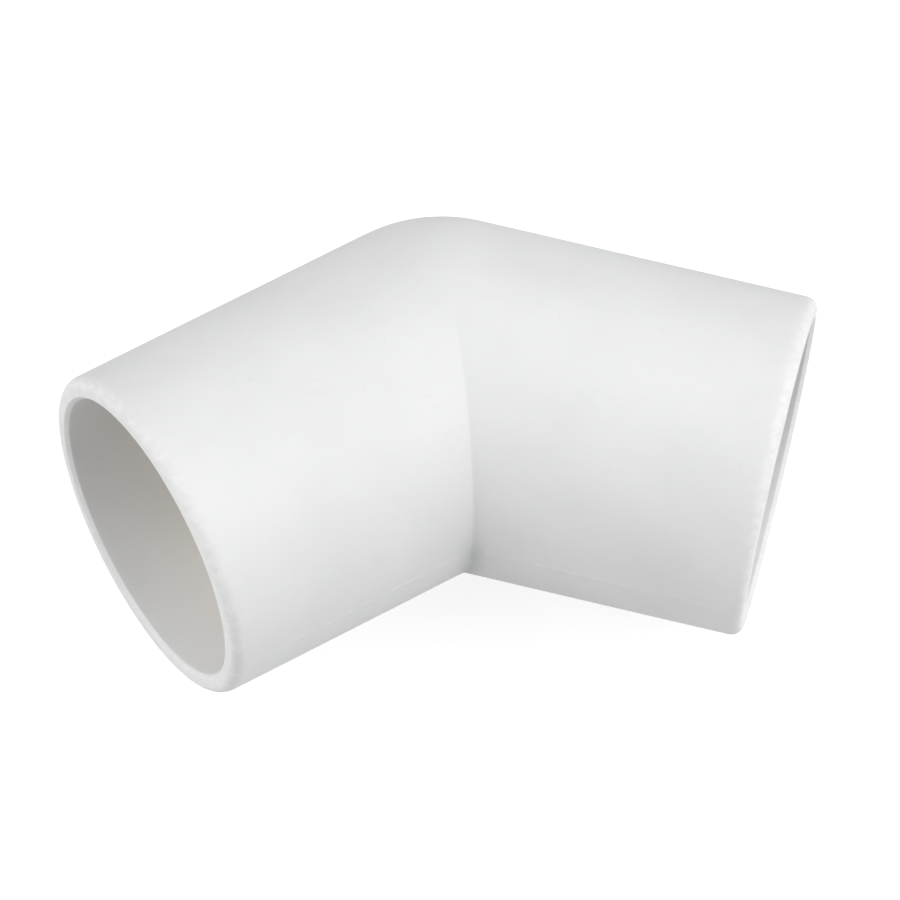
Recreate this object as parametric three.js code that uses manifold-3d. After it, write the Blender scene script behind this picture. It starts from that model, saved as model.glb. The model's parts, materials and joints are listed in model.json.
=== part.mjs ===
// A 45 degree elbow for rigid PVC electrical conduit, with a plain socket at each end.
//
// It is one injection moulding: two equal round arms that meet in a sharp crease on the inside of
// the bend and in a ball-shaped corner on the outside. Each arm holds a tapered socket for the
// conduit, which ends at a stop shoulder, and a narrower passage joins the two sockets.
//
// Units are millimetres and +Z is up. The elbow lies on its side, so both arm axes are level. The
// arms point to -X and +X and both lean towards -Y, so the outside of the bend faces +Y. The origin
// is at the centre of the footprint of the bounding box, on the surface that the elbow lies on.

import * as THREE from 'three';
import { mergeVertices } from 'three/addons/utils/BufferGeometryUtils.js';
import Module from 'manifold-3d';

// Driving dimensions
const OUTER_DIAMETER = 29.3;
const BEND_ANGLE = 45;
const ARM_LENGTH = 29.3; // from the crossing of the two axes to either end face
const CONDUIT_DIAMETER = 25;
const MOUTH_CLEARANCE = 0.3; // how much wider than the conduit a socket is at its mouth
const ROOT_INTERFERENCE = 0.05; // how much narrower than the conduit it is at its stop
const ENTRY_CHAMFER = 0.37;
const PASSAGE_DIAMETER = 21; // the bore of the conduit, so that cables meet no step
const STOP_DISTANCE = 6.5; // from the crossing of the two axes to either stop shoulder
const RIM_ROUNDING_LENGTH = 1.15; // along the arm
const RIM_ROUNDING_DEPTH = 0.95; // across the wall

// Faceting. Every polygon lies round its true circle, with flats at its top, bottom and sides.
const FACETS = 64;
const RIM_STEPS = 4;

// Finish
const WHITE_PVC = { color: 0xeeeeec, roughness: 0.35, metalness: 0 };

const outerRadius = OUTER_DIAMETER / 2;
const mouthRadius = (CONDUIT_DIAMETER + MOUTH_CLEARANCE) / 2;
const rootRadius = (CONDUIT_DIAMETER - ROOT_INTERFERENCE) / 2;
const passageRadius = PASSAGE_DIAMETER / 2;
const halfBend = THREE.MathUtils.degToRad(BEND_ANGLE / 2);
const halfFacet = Math.PI / FACETS;
const cornerScale = 1 / Math.cos(halfFacet); // from a flat's distance to a corner's distance

const wasm = await Module();
wasm.setup();

function toSolid(geometry) {
  geometry.deleteAttribute('normal');
  geometry.deleteAttribute('uv');
  const merged = mergeVertices(geometry);
  return new wasm.Manifold(new wasm.Mesh({
    numProp: 3,
    vertProperties: merged.attributes.position.array,
    triVerts: new Uint32Array(merged.index.array),
  }));
}

function toGeometry(solid) {
  const mesh = solid.getMesh();
  const geometry = new THREE.BufferGeometry();
  geometry.setAttribute('position', new THREE.BufferAttribute(mesh.vertProperties, 3));
  geometry.setIndex(new THREE.BufferAttribute(mesh.triVerts, 1));
  return geometry;
}

// A turned solid along one arm. The profile is a list of [radius, distance from the crossing].
function turnedAlongArm(profile, side) {
  const points = profile.map(([radius, distance]) => new THREE.Vector2(radius * cornerScale, distance));
  const geometry = new THREE.LatheGeometry(points, FACETS, halfFacet);
  geometry.rotateZ(-side * (Math.PI / 2 + halfBend));
  return toSolid(geometry);
}

// A ball at the crossing whose outline has the same corners as the arms' cross-section.
function ballAtCrossing(radius) {
  const cornerRadius = radius * cornerScale;
  const points = [new THREE.Vector2(0, -radius)];
  for (let i = 0; i < FACETS / 2; i += 1) {
    const angle = (2 * i + 1) * halfFacet;
    points.push(new THREE.Vector2(cornerRadius * Math.sin(angle), -cornerRadius * Math.cos(angle)));
  }
  points.push(new THREE.Vector2(0, radius));
  const geometry = new THREE.LatheGeometry(points, FACETS);
  geometry.rotateX(Math.PI / 2);
  return toSolid(geometry);
}

// The outside of an arm: a plain cylinder whose rim is rounded by a quarter of an ellipse.
function armProfile() {
  const profile = [[0, 0], [outerRadius, 0]];
  for (let i = 0; i <= RIM_STEPS; i += 1) {
    const angle = (i / RIM_STEPS) * (Math.PI / 2);
    profile.push([
      outerRadius - RIM_ROUNDING_DEPTH * (1 - Math.cos(angle)),
      ARM_LENGTH - RIM_ROUNDING_LENGTH * (1 - Math.sin(angle)),
    ]);
  }
  profile.push([0, ARM_LENGTH]);
  return profile;
}

// The hollow of an arm: passage, stop shoulder, tapered socket and entry chamfer. It runs on past
// the end face at the chamfer's slope, so that the cut leaves a clean edge there.
function hollowProfile() {
  const overrun = 1;
  return [
    [0, 0],
    [passageRadius, 0],
    [passageRadius, STOP_DISTANCE],
    [rootRadius, STOP_DISTANCE],
    [mouthRadius, ARM_LENGTH - ENTRY_CHAMFER],
    [mouthRadius + ENTRY_CHAMFER + overrun, ARM_LENGTH + overrun],
    [0, ARM_LENGTH + overrun],
  ];
}

// Both arms and the ball that closes the outside of the bend
function bentSolid(profile, ballRadius) {
  const arms = turnedAlongArm(profile, -1).add(turnedAlongArm(profile, 1));
  return arms.add(ballAtCrossing(ballRadius));
}

const elbowSolid = bentSolid(armProfile(), outerRadius).subtract(bentSolid(hollowProfile(), passageRadius));
const elbowBody = new THREE.Mesh(toGeometry(elbowSolid), new THREE.MeshStandardMaterial(WHITE_PVC));
elbowBody.name = 'elbow_body';

// The crossing of the axes sits over the middle of the footprint in X. In Y it is offset, because
// the corner reaches +outerRadius and the arms' lower rims reach further down.
elbowBody.geometry.computeBoundingBox();
const bounds = elbowBody.geometry.boundingBox;
elbowBody.position.set(0, -(bounds.min.y + bounds.max.y) / 2, outerRadius);

const elbow = new THREE.Group();
elbow.add(elbowBody);

export default elbow;
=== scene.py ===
"""A 45 degree elbow for rigid PVC electrical conduit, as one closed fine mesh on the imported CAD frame.

The elbow is a bent tube. Its skin is a grid that closes on itself both ways: columns run round the
tube's cross-section, and rows run out along the outside, round the rim of one mouth, back through
its socket, across the passage, out through the other socket, and round the other rim.
"""

import json
import math

import bpy
import numpy as np
from mathutils import Matrix, Vector, noise


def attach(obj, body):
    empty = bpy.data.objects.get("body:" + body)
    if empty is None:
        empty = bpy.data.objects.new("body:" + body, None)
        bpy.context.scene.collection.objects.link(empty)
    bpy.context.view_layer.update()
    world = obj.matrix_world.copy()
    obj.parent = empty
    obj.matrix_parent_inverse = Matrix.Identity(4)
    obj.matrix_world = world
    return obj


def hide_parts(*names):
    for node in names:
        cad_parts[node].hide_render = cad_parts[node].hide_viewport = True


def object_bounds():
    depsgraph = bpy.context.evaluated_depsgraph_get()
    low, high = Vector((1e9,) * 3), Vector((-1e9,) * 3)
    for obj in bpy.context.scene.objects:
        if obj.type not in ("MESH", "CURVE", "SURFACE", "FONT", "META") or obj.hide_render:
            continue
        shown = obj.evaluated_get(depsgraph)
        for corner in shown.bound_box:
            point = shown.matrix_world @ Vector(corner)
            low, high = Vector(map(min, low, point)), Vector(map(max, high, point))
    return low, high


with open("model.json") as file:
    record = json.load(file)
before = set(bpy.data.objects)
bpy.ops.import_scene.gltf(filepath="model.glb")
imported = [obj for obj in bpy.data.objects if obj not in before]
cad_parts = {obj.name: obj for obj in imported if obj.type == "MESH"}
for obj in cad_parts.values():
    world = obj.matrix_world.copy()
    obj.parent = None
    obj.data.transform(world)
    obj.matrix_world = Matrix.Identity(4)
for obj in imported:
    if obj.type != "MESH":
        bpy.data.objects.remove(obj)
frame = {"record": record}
cad_low, cad_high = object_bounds()

MM = 0.001  # lengths below are in millimetres unless their comment says otherwise

# ---------------------------------------------------------------------------------------------
# Dimensions that the frame holds
# ---------------------------------------------------------------------------------------------

mounts = {mount["name"]: mount for mount in frame["record"]["mounts"]}
OUTER_RADIUS = (cad_high.z - cad_low.z) / 2 / MM
CROSSING = Vector((
    (cad_low.x + cad_high.x) / 2 / MM,
    cad_high.y / MM - OUTER_RADIUS,
    (cad_low.z + cad_high.z) / 2 / MM,
))
ARM_AXIS = Vector(mounts["socket_b_mouth"]["axis"])
HALF_BEND = math.atan2(-ARM_AXIS.y, ARM_AXIS.x)


def distance_along_arm(mount_name):
    """How far from the crossing of the two axes a mount lies, along its arm."""
    place = Vector(mounts[mount_name]["pos_m"]) / MM - CROSSING
    return place.dot(ARM_AXIS)


ARM_LENGTH = distance_along_arm("socket_b_mouth")
STOP_DISTANCE = distance_along_arm("socket_b_stop")

# ---------------------------------------------------------------------------------------------
# Dimensions of the moulding's details
# ---------------------------------------------------------------------------------------------

MOUTH_RADIUS = 12.65
ROOT_RADIUS = 12.475
PASSAGE_RADIUS = 10.5
PASSAGE_START = 5.3  # from the crossing: the passage is plain from here to the bend
ENTRY_CHAMFER = 0.37
RIM_ROUNDING_LENGTH = 1.15
RIM_ROUNDING_DEPTH = 0.95
FACE_EDGE_RADIUS = 0.12  # between the end face and the entry chamfer
CHAMFER_EDGE_RADIUS = 0.25
STOP_CORNER_RADIUS = 0.3
STOP_EDGE_RADIUS = 0.15
CREASE_RADIUS = 0.5
PASSAGE_CREASE_RADIUS = 0.35

SKIN_INSET = 0.06  # the whole skin lies this far inside the CAD solid, so that its relief has room
WAVINESS_HEIGHT = 0.010
WAVINESS_LENGTH = 7.0
PARTING_RIDGE_HEIGHT = 0.05
PARTING_RIDGE_WIDTH = 0.14
PARTING_STEP = 0.004
PARTING_FADE = 1.5  # the parting line fades out over this length before a rim
CORE_LINE_HEIGHT = 0.03
CORE_LINE_WIDTH = 0.15
GATE_DISH_RADIUS = 2.1
GATE_DISH_FLOOR = 0.55  # the share of the dish's radius that is flat
GATE_DISH_DEPTH = 0.28
GATE_NUB_RADIUS = 0.8
GATE_NUB_TOP = 0.6  # the share of the nub's radius that is flat
GATE_NUB_HEIGHT = 0.25

RIM_WEAR_WIDTH = 0.9
RIM_WEAR_CENTRE = (0.25, 0.3)  # behind the end face, and in from the outside
MOUTH_WEAR = 0.8  # the wear round the inner edge of a mouth, against 1 on the rim
MOUTH_WEAR_WIDTH = 0.4
MOUTH_WEAR_CENTRE = 0.1  # behind the end face
PARTING_WEAR = 0.35
# Painted shade low in the crease on the inside of the bend: where it centres, how far round it reaches,
# and how wide it is.
CREASE_SHADE_ANGLE = 200  # degrees round the section from the outside of the bend, over the top
CREASE_SHADE_REACH = 35  # degrees to either side of that
CREASE_SHADE_WIDTH = 1.0

# ---------------------------------------------------------------------------------------------
# The grid
# ---------------------------------------------------------------------------------------------

EVEN_COLUMNS = 160
# How far the closer columns lie from the parting line, to either side of it
PARTING_OFFSETS = (0.0, 0.07, 0.14, 0.24, 0.38, 0.56, 0.76, 0.98, 1.22, 1.48)
BEND_ROWS = 64
ARM_ROWS = 16
PASSAGE_ROWS = 4
RIM_ROWS = 10
LONGEST_SOCKET_ROW = 1.8
ROUND_STEPS = 4
SUPPORT_GAP = 0.3  # a row this far before a round keeps the long rows next to it flat
WALL_END = ARM_LENGTH - RIM_ROUNDING_LENGTH - SUPPORT_GAP  # the last row of an arm's plain outside


def column_angles():
    """Angles round the section: even, with closer ones where the parting line crosses the skin.

    Angle 0 is the outside of the bend, a quarter turn is the top and a half turn is the inside.
    No column is exactly at the top or the bottom, where the rows of the bend run together.
    """
    step = 2 * math.pi / EVEN_COLUMNS
    close = [offset / OUTER_RADIUS for offset in PARTING_OFFSETS]
    close = [-angle for angle in reversed(close[1:])] + close
    reach = close[-1] + step / 2
    angles = []
    for centre in (0.0, math.pi):
        angles += [centre + angle for angle in close]
    for i in range(EVEN_COLUMNS):
        angle = (i + 0.5) * step
        nearest = min(angle, abs(angle - math.pi), 2 * math.pi - angle)
        if nearest > reach:
            angles.append(angle)
    return np.sort(np.mod(np.array(angles), 2 * math.pi))


ANGLES = column_angles()
OUTWARD = np.cos(ANGLES)  # the share of a column's radius that points to the outside of the bend
UPWARD = np.sin(ANGLES)
UP = np.array([0.0, 0.0, 1.0])


def arm_directions(side):
    """The unit vectors along an arm and across it, towards the outside of the bend. B is side +1."""
    along = np.array([side * math.cos(HALF_BEND), -math.sin(HALF_BEND), 0.0])
    across = np.array([side * math.sin(HALF_BEND), math.cos(HALF_BEND), 0.0])
    return along, across


def ring(side, distance, radius):
    """One row round an arm, as points. The distance is a number, or one number for each column."""
    along, across = arm_directions(side)
    distances = np.broadcast_to(distance, ANGLES.shape)
    return (
        np.outer(distances, along)
        + np.outer(radius * OUTWARD, across)
        + np.outer(radius * UPWARD, UP)
    )


def bend_edge(radius, crease_radius):
    """For each column, where its arm ends and the bend begins, as a distance from the crossing."""
    return (radius + crease_radius) * np.maximum(-OUTWARD, 0) * math.tan(HALF_BEND)


def bend_rows(radius, crease_radius):
    """Rows across the bend, from arm A to arm B.

    On the outside they turn about the crossing, which makes a ball. On the inside they are the
    track of a small ball that rolls along the crease and touches both arms.
    """
    _, across_a = arm_directions(-1)
    _, across_b = arm_directions(1)
    faces_a = np.outer(OUTWARD, across_a) + np.outer(UPWARD, UP)
    faces_b = np.outer(OUTWARD, across_b) + np.outer(UPWARD, UP)
    turn = np.arccos(np.clip((faces_a * faces_b).sum(axis=1), -1, 1))
    roller = np.zeros_like(faces_a)
    roller[:, 1] = (radius + crease_radius) * OUTWARD / math.cos(HALF_BEND)
    roller[:, 2] = (radius + crease_radius) * UPWARD
    inside = (OUTWARD < 0)[:, None]
    rows = []
    for i in range(BEND_ROWS + 1):
        share = i / BEND_ROWS
        azimuth = (2 * share - 1) * HALF_BEND
        across = np.array([math.sin(azimuth), math.cos(azimuth), 0.0])
        ball = radius * (np.outer(OUTWARD, across) + np.outer(UPWARD, UP))
        part_a = np.sin((1 - share) * turn)[:, None] * faces_a
        part_b = np.sin(share * turn)[:, None] * faces_b
        arc = (part_a + part_b) / np.sin(turn)[:, None]
        rows.append(np.where(inside, roller - crease_radius * arc, ball))
    return rows


def rounded(path, corner_radii):
    """A path of (distance, radius) points with its inner corners rounded to the given radii."""
    points = [path[0]]
    for before, corner, after, size in zip(path, path[1:], path[2:], corner_radii):
        corner = np.array(corner, float)
        to_before = np.array(before, float) - corner
        to_after = np.array(after, float) - corner
        to_before /= np.linalg.norm(to_before)
        to_after /= np.linalg.norm(to_after)
        half_angle = math.acos(np.clip(to_before @ to_after, -1, 1)) / 2
        middle = (to_before + to_after) / np.linalg.norm(to_before + to_after)
        centre = corner + middle * size / math.sin(half_angle)
        start = corner + to_before * size / math.tan(half_angle) - centre
        finish = corner + to_after * size / math.tan(half_angle) - centre
        sweep = math.pi - 2 * half_angle
        for i in range(ROUND_STEPS + 1):
            share = i / ROUND_STEPS
            turned = math.sin((1 - share) * sweep) * start + math.sin(share * sweep) * finish
            points.append(tuple(centre + turned / math.sin(sweep)))
    points.append(path[-1])
    return points


def with_extra_rows(points, longest):
    """The same path with extra points along its long stretches."""
    result = [points[0]]
    for before, after in zip(points, points[1:]):
        length = math.dist(before, after)
        count = max(1, math.ceil(length / longest))
        if count > 1 and length > 3 * SUPPORT_GAP:
            shares = [SUPPORT_GAP / length]
            shares += [i / count for i in range(1, count)]
            shares += [1 - SUPPORT_GAP / length, 1]
        else:
            shares = [i / count for i in range(1, count + 1)]
        for share in shares:
            result.append(tuple(a + (b - a) * share for a, b in zip(before, after)))
    return result


def rim_path():
    """The outside of an arm's rim: a quarter of an ellipse, from the wall to the end face."""
    points = []
    for i in range(RIM_ROWS + 1):
        angle = math.pi / 2 * i / RIM_ROWS
        points.append((
            ARM_LENGTH - RIM_ROUNDING_LENGTH * (1 - math.sin(angle)),
            OUTER_RADIUS - RIM_ROUNDING_DEPTH * (1 - math.cos(angle)),
        ))
    return points


def socket_path():
    """The inside of an arm: end face, entry chamfer, tapered socket, stop shoulder and passage."""
    corners = [
        (ARM_LENGTH, OUTER_RADIUS - RIM_ROUNDING_DEPTH),
        (ARM_LENGTH, MOUTH_RADIUS + ENTRY_CHAMFER),
        (ARM_LENGTH - ENTRY_CHAMFER, MOUTH_RADIUS),
        (STOP_DISTANCE, ROOT_RADIUS),
        (STOP_DISTANCE, PASSAGE_RADIUS),
        (PASSAGE_START, PASSAGE_RADIUS),
    ]
    radii = (FACE_EDGE_RADIUS, CHAMFER_EDGE_RADIUS, STOP_CORNER_RADIUS, STOP_EDGE_RADIUS)
    return with_extra_rows(rounded(corners, radii), longest=LONGEST_SOCKET_ROW)


arm_path = rim_path() + socket_path()[1:]


def straight_rows(side, radius, crease_radius, end, count):
    """Rows from the bend's edge to a plain ring at the given distance, the ends left out."""
    start = bend_edge(radius, crease_radius)
    first = SUPPORT_GAP / 2 / (end - start)
    rows = [ring(side, start + first * (end - start), radius)]
    for i in range(1, count):
        rows.append(ring(side, start + (end - start) * i / count, radius))
    return rows


def arm_rows(side):
    """All rows of one arm, from the outside of the bend over the rim and in to the passage."""
    outside = straight_rows(side, OUTER_RADIUS, CREASE_RADIUS, WALL_END, ARM_ROWS)
    outside.append(ring(side, WALL_END, OUTER_RADIUS))
    rim_and_socket = [ring(side, distance, radius) for distance, radius in arm_path]
    inside = straight_rows(side, PASSAGE_RADIUS, PASSAGE_CREASE_RADIUS, PASSAGE_START, PASSAGE_ROWS)
    return outside, rim_and_socket, inside[::-1]


def build_grid():
    """All rows in order, as an array of [row, column, xyz], and each row's kind."""
    kinds = []
    rows = []

    def add(new_rows, kind):
        rows.extend(new_rows)
        kinds.extend([kind] * len(new_rows))

    outside_b, rim_b, inside_b = arm_rows(1)
    outside_a, rim_a, inside_a = arm_rows(-1)
    add(bend_rows(OUTER_RADIUS, CREASE_RADIUS), "outer")
    add(outside_b, "outer")
    add(rim_b[:RIM_ROWS + 1], "rim")
    add(rim_b[RIM_ROWS + 1:], "socket")
    add(inside_b, "passage")
    add(bend_rows(PASSAGE_RADIUS, PASSAGE_CREASE_RADIUS)[::-1], "passage")
    add(inside_a[::-1], "passage")
    add(rim_a[RIM_ROWS + 1:][::-1], "socket")
    add(rim_a[:RIM_ROWS + 1][::-1], "rim")
    add(outside_a[::-1], "outer")
    return np.array(rows), np.array(kinds)


def grid_normals(points):
    """Unit normals of a grid that closes both ways, out of the plastic."""
    down_rows = np.roll(points, -1, axis=0) - np.roll(points, 1, axis=0)
    along_columns = np.roll(points, -1, axis=1) - np.roll(points, 1, axis=1)
    normals = np.cross(along_columns, down_rows)
    return normals / np.linalg.norm(normals, axis=2, keepdims=True)


def bell(distance, width):
    """A smooth bump of height 1 at distance 0."""
    return np.exp(-((distance / width) ** 2))


def smooth_step(low, high, value):
    share = np.clip((value - low) / (high - low), 0, 1)
    return share * share * (3 - 2 * share)


def waviness(points):
    """The slow unevenness that cooling leaves in the moulding, from -1 to 1."""
    flat = points.reshape(-1, 3) / WAVINESS_LENGTH
    values = [noise.noise(Vector(place)) for place in flat]
    return np.array(values).reshape(points.shape[:2])


def arm_distance(points):
    """How far each point is from the crossing, along the arm that it belongs to."""
    along, _ = arm_directions(1)
    return np.abs(points[..., 0]) * along[0] + points[..., 1] * along[1]


def relief(points, kinds):
    """How far each point of the skin stands out from the plain shape. It is never above zero."""
    on_outside = np.isin(kinds, ("outer", "rim"))[:, None]
    height = -SKIN_INSET + WAVINESS_HEIGHT * (waviness(points) - 1)

    # The two halves of the mould meet in the plane of the bend, and leave a fine ridge and step.
    before_rim = 1 - smooth_step(WALL_END - PARTING_FADE, WALL_END, arm_distance(points))
    ridge = PARTING_RIDGE_HEIGHT * bell(points[..., 2], PARTING_RIDGE_WIDTH)
    step = PARTING_STEP * np.tanh(points[..., 2] / PARTING_RIDGE_WIDTH)
    height += np.where(on_outside, (ridge + step) * before_rim, 0)

    # The two cores meet in the plane between the arms, and leave a line round the passage.
    in_passage = (kinds == "passage")[:, None]
    height += np.where(in_passage, CORE_LINE_HEIGHT * bell(points[..., 0], CORE_LINE_WIDTH), 0)

    # The gate was on the heel of the bend: a small dish with the broken-off nub in it.
    from_gate = np.hypot(points[..., 0], points[..., 2])
    at_heel = on_outside & (points[..., 1] > 0)
    dish = 1 - smooth_step(GATE_DISH_FLOOR * GATE_DISH_RADIUS, GATE_DISH_RADIUS, from_gate)
    nub = 1 - smooth_step(GATE_NUB_TOP * GATE_NUB_RADIUS, GATE_NUB_RADIUS, from_gate)
    height += np.where(at_heel, GATE_NUB_HEIGHT * nub - GATE_DISH_DEPTH * dish, 0)
    return height


def nearest_axis(points):
    """The direction of the arm that each point belongs to."""
    along_b, _ = arm_directions(1)
    along_a, _ = arm_directions(-1)
    return np.where(points[..., :1] >= 0, along_b, along_a)


def edge_wear(points, kinds):
    """How much each point is rubbed in the box and the hand: most on the rims, some on the sides."""
    distance = arm_distance(points)
    radius = np.linalg.norm(points - distance[..., None] * nearest_axis(points), axis=2)
    behind_face = ARM_LENGTH - distance
    back, inward = RIM_WEAR_CENTRE
    from_rim = np.hypot(behind_face - back, OUTER_RADIUS - inward - radius)
    from_mouth = np.hypot(behind_face - MOUTH_WEAR_CENTRE, MOUTH_RADIUS + ENTRY_CHAMFER - radius)
    wear = bell(from_rim, RIM_WEAR_WIDTH) + MOUTH_WEAR * bell(from_mouth, MOUTH_WEAR_WIDTH)
    on_parting_line = PARTING_WEAR * bell(points[..., 2], 2 * PARTING_RIDGE_WIDTH)
    wear += np.where((kinds == "outer")[:, None], on_parting_line, 0)
    return np.clip(wear, 0, 1)


def painted_crease_shade(points, kinds):
    """How much painted shade darkens each point of the crease, low down on the inside of the bend."""
    from_lowest = ANGLES - math.radians(CREASE_SHADE_ANGLE)
    low_in_crease = smooth_step(math.cos(math.radians(CREASE_SHADE_REACH)), 1, np.cos(from_lowest))[None, :]
    near = bell(points[..., 0], CREASE_SHADE_WIDTH) * low_in_crease
    return np.where((kinds == "outer")[:, None], near, 0)


def depth_inside(points, kinds):
    """0 on the outside and at the mouths, rising to 1 at the stop shoulders."""
    depth = (ARM_LENGTH - arm_distance(points)) / (ARM_LENGTH - STOP_DISTANCE)
    return np.where(np.isin(kinds, ("socket", "passage"))[:, None], np.clip(depth, 0, 1), 0)


def grid_mesh(name, points):
    """A mesh of quads from a grid that closes both ways, in metres in the row frame."""
    row_count, column_count = points.shape[:2]
    rows = np.arange(row_count)[:, None]
    columns = np.arange(column_count)[None, :]
    next_row = (rows + 1) % row_count
    next_column = (columns + 1) % column_count
    corners = [
        rows * column_count + columns,
        rows * column_count + next_column,
        next_row * column_count + next_column,
        next_row * column_count + columns,
    ]
    quads = np.stack(corners, axis=-1).reshape(-1, 4)
    places = (points.reshape(-1, 3) + np.array(CROSSING)) * MM
    mesh = bpy.data.meshes.new(name)
    mesh.from_pydata(places.tolist(), [], quads.tolist())
    mesh.polygons.foreach_set("use_smooth", np.ones(len(quads), dtype=bool))
    mesh.update()
    return mesh


def add_attribute(mesh, name, values):
    """Stores one number for each point, for the material to read."""
    attribute = mesh.attributes.new(name, "FLOAT", "POINT")
    attribute.data.foreach_set("value", values.astype(np.float32).ravel())


def build_elbow():
    plain, kinds = build_grid()
    height = relief(plain, kinds)
    points = plain + height[..., None] * grid_normals(plain)
    mesh = grid_mesh("elbow", points)
    add_attribute(mesh, "edge_wear", edge_wear(plain, kinds))
    add_attribute(mesh, "depth_inside", depth_inside(plain, kinds))
    add_attribute(mesh, "painted_crease_shade", painted_crease_shade(plain, kinds))
    elbow = bpy.data.objects.new("elbow", mesh)
    bpy.context.scene.collection.objects.link(elbow)
    return elbow


# ---------------------------------------------------------------------------------------------
# Materials
# ---------------------------------------------------------------------------------------------

PVC_WHITE = (0.777, 0.781, 0.783, 1)
PVC_CLOUD = (0.750, 0.754, 0.755, 1)
PVC_RUBBED = (0.85, 0.85, 0.845, 1)
PVC_GRIME = (0.56, 0.55, 0.53, 1)
# Painted shade for the crease, low on the inside of the bend.
PVC_CREASE_SHADE = (0.50, 0.51, 0.51, 1)
# A slightly darker, warmer tone deeper in the sockets: painted shade of the bore.
PVC_INSIDE_SHADE = (0.775, 0.745, 0.70, 1)
INSIDE_SHADE_DEPTH = 0.5  # how deep in, of the way to the stop shoulder, the inside's painted shade is full

# How far each mark takes the colour to its own
SPECK_STRENGTH = 0.22
SCRATCH_STRENGTH = 0.08
RUBBED_STRENGTH = 0.7
# The last one is the crease's painted shade, not a mark on the plastic.
CREASE_SHADE_STRENGTH = 0.7

SATIN_ROUGHNESS = (0.45, 0.53)
RUBBED_ROUGHNESS = 0.16  # this and the next two are added to the satin's
SCRATCH_ROUGHNESS = 0.12
# Added where the crease's painted shade lies.
CREASE_SHADE_ROUGHNESS = 0.2

SCRATCH_WIDTH = 0.25
SCRATCH_STRETCH = 0.03
SCRATCH_PATCH_SIZE = 6
SCRATCH_TURNS = (67.5, -40)  # degrees
SCRATCH_DEPTH = 0.006
GRAIN_DEPTH = 0.006
RIPPLE_DEPTH = 0.014
SCUFF_DEPTH = 0.02

PVC_IOR = 1.48
SCATTER_WEIGHT = 0.12
SCATTER_RADIUS = (1.0, 0.9, 0.8)  # for red, green and blue, in units of the scatter scale
SCATTER_SCALE = 1.2

FLOOR_PALE = (0.38, 0.38, 0.38, 1)
FLOOR_CLOUD = (0.36, 0.36, 0.36, 1)
FLOOR_ROUGHNESS = 0.7
FLOOR_GLOW = 0.39  # the light that it throws
# To the camera only, the floor glows brighter than the light it throws: a painted pool of light round
# the elbow.
FLOOR_GLOW_SEEN = 0.77  # how it looks near the elbow
FLOOR_GLOW_FAR = 0.49  # how it looks further off
FLOOR_BRIGHT_RADIUS = 0.045  # metres, and so is the next one
FLOOR_DIM_RADIUS = 0.10


class Shader:
    """A short way to write a material's nodes."""

    MIX_COLOUR_INPUTS = (6, 7)
    MIX_COLOUR_OUTPUT = 2

    def __init__(self, name):
        self.material = bpy.data.materials.new(name)
        self.material.use_nodes = True
        self.tree = self.material.node_tree
        self.surface = self.tree.nodes["Principled BSDF"]

    def node(self, kind, settings=None, **inputs):
        """Adds a node. An input is a value, or a node whose first output feeds it."""
        made = self.tree.nodes.new(kind)
        for key, value in (settings or {}).items():
            setattr(made, key, value)
        for key, value in inputs.items():
            self.feed(made, key.replace("_", " "), value)
        return made

    def feed(self, node, socket, value):
        """Sets an input, given by its name or number, or links a node or an output to it."""
        socket = node.inputs[socket]
        if isinstance(value, bpy.types.Node):
            value = value.outputs[0]
        if isinstance(value, bpy.types.NodeSocket):
            self.tree.links.new(value, socket)
        else:
            socket.default_value = value

    def attribute(self, name):
        return self.node("ShaderNodeAttribute", {"attribute_name": name}).outputs["Fac"]

    def noise(self, size, detail=2.0, roughness=0.5, stretch=(1, 1, 1), turn=0):
        """Noise whose features are about this many millimetres across, as a 0 to 1 output.

        A stretch of 0.1 makes them ten times longer. The turn is about the vertical, in degrees.
        """
        place = self.node("ShaderNodeTexCoord").outputs["Object"]
        turned = (0, 0, math.radians(turn))
        scaled = self.node("ShaderNodeMapping", Vector=place, Rotation=turned, Scale=stretch)
        texture = self.node(
            "ShaderNodeTexNoise",
            Vector=scaled,
            Scale=1 / (size * MM),
            Detail=detail,
            Roughness=roughness,
        )
        return texture.outputs["Fac"]

    def scratches(self, turn):
        """Sparse hairline marks that run at an angle round the vertical, as a 0 to 1 output."""
        fibres = self.noise(SCRATCH_WIDTH, detail=1, stretch=(SCRATCH_STRETCH, 1, 1), turn=turn)
        lines = self.ramp(fibres, 0.66, 0.72)
        patches = self.ramp(self.noise(SCRATCH_PATCH_SIZE), 0.48, 0.62)
        return self.math("MULTIPLY", lines, patches)

    def scaled(self, value, factor):
        return self.math("MULTIPLY", value, factor)

    def ramp(self, value, low, high, to_low=0.0, to_high=1.0):
        """The value's range from low to high, taken smoothly to another range."""
        mapped = self.node("ShaderNodeMapRange", {"interpolation_type": "SMOOTHSTEP"}, Value=value)
        mapped.inputs["From Min"].default_value = low
        mapped.inputs["From Max"].default_value = high
        mapped.inputs["To Min"].default_value = to_low
        mapped.inputs["To Max"].default_value = to_high
        return mapped.outputs["Result"]

    def math(self, operation, a, b):
        made = self.node("ShaderNodeMath", {"operation": operation})
        self.feed(made, 0, a)
        self.feed(made, 1, b)
        return made.outputs[0]

    def mix(self, share, colour_a, colour_b):
        """Colour A where the share is 0, colour B where it is 1."""
        made = self.node("ShaderNodeMix", {"data_type": "RGBA"})
        self.feed(made, 0, share)
        for index, colour in zip(self.MIX_COLOUR_INPUTS, (colour_a, colour_b)):
            self.feed(made, index, colour)
        return made.outputs[self.MIX_COLOUR_OUTPUT]

    def bump(self, height, distance, strength, before=None):
        """A normal for a height from 0 to 1 that stands this many millimetres, over an earlier one."""
        made = self.node("ShaderNodeBump", Height=height, Strength=strength)
        made.inputs["Distance"].default_value = distance * MM
        if before is not None:
            self.feed(made, "Normal", before)
        return made.outputs["Normal"]


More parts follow.
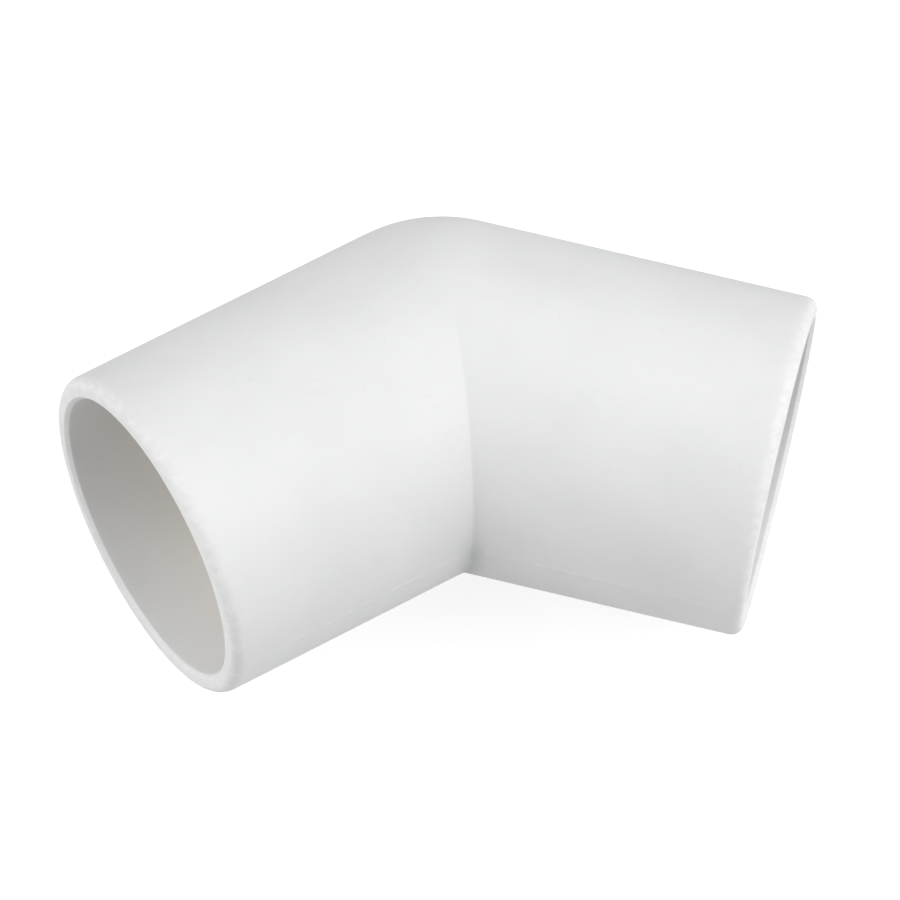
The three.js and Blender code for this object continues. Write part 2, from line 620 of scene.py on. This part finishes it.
def pvc_material():
    """Rigid white PVC as moulded: a satin skin, faintly clouded, rubbed at its rims, with painted shade
    low in the crease and a darker, warmer painted shade deeper in the sockets.
    """
    shader = Shader("white_pvc")
    wear = shader.attribute("edge_wear")
    depth = shader.attribute("depth_inside")
    crease = shader.attribute("painted_crease_shade")

    clouds = shader.ramp(shader.noise(9, detail=3), 0.35, 0.7)
    specks = shader.ramp(shader.noise(0.4, detail=1), 0.745, 0.80)
    rubbed_spots = shader.ramp(shader.noise(0.8, detail=4, roughness=0.65), 0.40, 0.62)
    rubbed = shader.math("MULTIPLY", wear, rubbed_spots)
    # The crease's painted shade, mottled.
    crease_shade_mottle = shader.ramp(shader.noise(1.3, detail=3), 0.25, 0.75, 0.55, 1.0)
    crease_shade_share = shader.math("MULTIPLY", crease, crease_shade_mottle)
    scratches = shader.math("ADD", *(shader.scratches(turn) for turn in SCRATCH_TURNS))

    colour = shader.mix(clouds, PVC_WHITE, PVC_CLOUD)
    colour = shader.mix(shader.scaled(specks, SPECK_STRENGTH), colour, PVC_GRIME)
    colour = shader.mix(shader.scaled(scratches, SCRATCH_STRENGTH), colour, PVC_GRIME)
    colour = shader.mix(shader.scaled(rubbed, RUBBED_STRENGTH), colour, PVC_RUBBED)
    # Painted shade low in the crease.
    colour = shader.mix(shader.scaled(crease_shade_share, CREASE_SHADE_STRENGTH), colour, PVC_CREASE_SHADE)
    # Painted shade deeper in the sockets.
    colour = shader.mix(shader.ramp(depth, 0.0, INSIDE_SHADE_DEPTH), colour, PVC_INSIDE_SHADE)
    shader.feed(shader.surface, "Base Color", colour)

    rough = shader.ramp(shader.noise(3.5, detail=3), 0.3, 0.7, *SATIN_ROUGHNESS)
    rough = shader.math("ADD", rough, shader.scaled(rubbed, RUBBED_ROUGHNESS))
    rough = shader.math("ADD", rough, shader.scaled(scratches, SCRATCH_ROUGHNESS))
    rough = shader.math("ADD", rough, shader.scaled(crease_shade_share, CREASE_SHADE_ROUGHNESS))
    shader.feed(shader.surface, "Roughness", rough)

    unscored = shader.math("SUBTRACT", 1.0, scratches)
    scuffs = shader.math("MULTIPLY", rubbed, shader.noise(0.15, detail=3))
    normal = shader.bump(shader.noise(0.35), GRAIN_DEPTH, 0.6)
    normal = shader.bump(shader.noise(2.4), RIPPLE_DEPTH, 0.45, before=normal)
    normal = shader.bump(unscored, SCRATCH_DEPTH, 0.5, before=normal)
    normal = shader.bump(scuffs, SCUFF_DEPTH, 0.6, before=normal)
    shader.feed(shader.surface, "Normal", normal)

    shader.surface.inputs["IOR"].default_value = PVC_IOR
    shader.surface.inputs["Subsurface Weight"].default_value = SCATTER_WEIGHT
    shader.surface.inputs["Subsurface Radius"].default_value = SCATTER_RADIUS
    shader.surface.inputs["Subsurface Scale"].default_value = SCATTER_SCALE * MM
    return shader.material


def floor_material():
    """A pale matt table top that glows a little, as one lit from below does.

    The glow looks brighter to the camera than the light that it throws on the elbow, which keeps the
    elbow's underside in shade. This extra glow is a painted pool of light round the elbow, and it also
    whitens the elbow's shadow on the floor. It fades away from the elbow, so that a side view sees the
    elbow's bright top against a slightly darker floor.
    """
    shader = Shader("pale_floor")
    tone = shader.ramp(shader.noise(60, detail=3), 0.3, 0.7)
    place = shader.node("ShaderNodeTexCoord").outputs["Object"]
    from_middle = shader.node("ShaderNodeVectorMath", {"operation": "LENGTH"}, Vector=place)
    seen = shader.node("ShaderNodeLightPath").outputs["Is Camera Ray"]
    # Painted pool of light: extra glow round the elbow that only the camera sees.
    painted_pool_of_light = shader.ramp(
        from_middle.outputs["Value"],
        FLOOR_BRIGHT_RADIUS,
        FLOOR_DIM_RADIUS,
        FLOOR_GLOW_SEEN - FLOOR_GLOW,
        FLOOR_GLOW_FAR - FLOOR_GLOW,
    )
    glow = shader.math("ADD", FLOOR_GLOW, shader.math("MULTIPLY", seen, painted_pool_of_light))
    shader.feed(shader.surface, "Base Color", shader.mix(tone, FLOOR_PALE, FLOOR_CLOUD))
    shader.feed(shader.surface, "Emission Strength", glow)
    shader.surface.inputs["Emission Color"].default_value = (1, 1, 1, 1)
    shader.surface.inputs["Roughness"].default_value = FLOOR_ROUGHNESS
    shader.surface.inputs["Specular IOR Level"].default_value = 0.0
    return shader.material


# ---------------------------------------------------------------------------------------------
# Floor, light and camera
# ---------------------------------------------------------------------------------------------

FLOOR_HALF_WIDTH = 2.0  # metres

SOFTBOX_DISTANCE = 1.6  # metres from the elbow
SOFTBOXES = (
    # name, azimuth and elevation in degrees, width in metres, watts
    ("left_wall", 270, 37, 1.6, 21.9),
    ("right_wall", 90, 37, 1.6, 17.3),
    ("front_right", 60, 38, 1.8, 12.0),
    ("overhead", 0, 90, 0.3, 0.6),
    ("back_overhead", 135, 72, 0.3, 1.3),
)
WORLD_LIGHT = 0.135

CAMERA_AZIMUTH = -15.1  # degrees
CAMERA_ELEVATION = 59.2
CAMERA_ROLL = 6.75
CAMERA_DISTANCE = 56.5  # in outer radii of the elbow
LENS = 393.1  # millimetres, on Blender's sensor, which is 36 mm wide
AIM_RIGHT = 0.70  # from the crossing of the axes to the point aimed at, in the picture's plane
AIM_DOWN = 5.10
CLIP_START = 0.01  # metres, and so is the next one
CLIP_END = 10


def direction(azimuth, elevation):
    """The unit vector towards something seen from the elbow, with azimuth 0 towards -Y."""
    a = math.radians(azimuth)
    e = math.radians(elevation)
    return Vector((math.sin(a) * math.cos(e), -math.cos(a) * math.cos(e), math.sin(e)))


def make_floor():
    mesh = bpy.data.meshes.new("floor")
    signs = ((-1, -1), (1, -1), (1, 1), (-1, 1))
    corners = [(x * FLOOR_HALF_WIDTH, y * FLOOR_HALF_WIDTH, cad_low.z) for x, y in signs]
    mesh.from_pydata(corners, [], [(0, 1, 2, 3)])
    mesh.materials.append(floor_material())
    floor = bpy.data.objects.new("floor", mesh)
    bpy.context.scene.collection.objects.link(floor)


def make_softbox(name, azimuth, elevation, width, watts):
    """A square area light, aimed at the elbow."""
    lamp = bpy.data.lights.new(name, "AREA")
    lamp.shape = "SQUARE"
    lamp.size = width
    lamp.energy = watts
    light = bpy.data.objects.new(name, lamp)
    towards = direction(azimuth, elevation)
    light.location = CROSSING * MM + towards * SOFTBOX_DISTANCE
    light.rotation_euler = towards.to_track_quat("Z", "Y").to_euler()
    bpy.context.scene.collection.objects.link(light)


def make_world(strength):
    world = bpy.data.worlds.new("studio")
    world.use_nodes = True
    background = world.node_tree.nodes["Background"]
    background.inputs["Color"].default_value = (1, 1, 1, 1)
    background.inputs["Strength"].default_value = strength
    bpy.context.scene.world = world


def make_camera():
    back = direction(CAMERA_AZIMUTH, CAMERA_ELEVATION)
    level_right = Vector((0, 0, 1)).cross(back).normalized()
    roll = Matrix.Rotation(math.radians(CAMERA_ROLL), 3, back)
    right = roll @ level_right
    up = back.cross(right)
    aim = CROSSING + AIM_RIGHT * right - AIM_DOWN * up
    data = bpy.data.cameras.new("camera")
    data.lens = LENS
    data.clip_start = CLIP_START
    data.clip_end = CLIP_END
    camera = bpy.data.objects.new("camera", data)
    turned = Matrix((right, up, back)).transposed().to_4x4()
    place = (aim + back * CAMERA_DISTANCE * OUTER_RADIUS) * MM
    camera.matrix_world = Matrix.Translation(place) @ turned
    bpy.context.scene.collection.objects.link(camera)
    bpy.context.scene.camera = camera


elbow = build_elbow()
elbow.data.materials.append(pvc_material())
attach(elbow, "root")
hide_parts("elbow_body")

make_floor()
make_world(WORLD_LIGHT)
for softbox in SOFTBOXES:
    make_softbox(*softbox)
make_camera()
bpy.context.scene.view_settings.view_transform = "Standard"
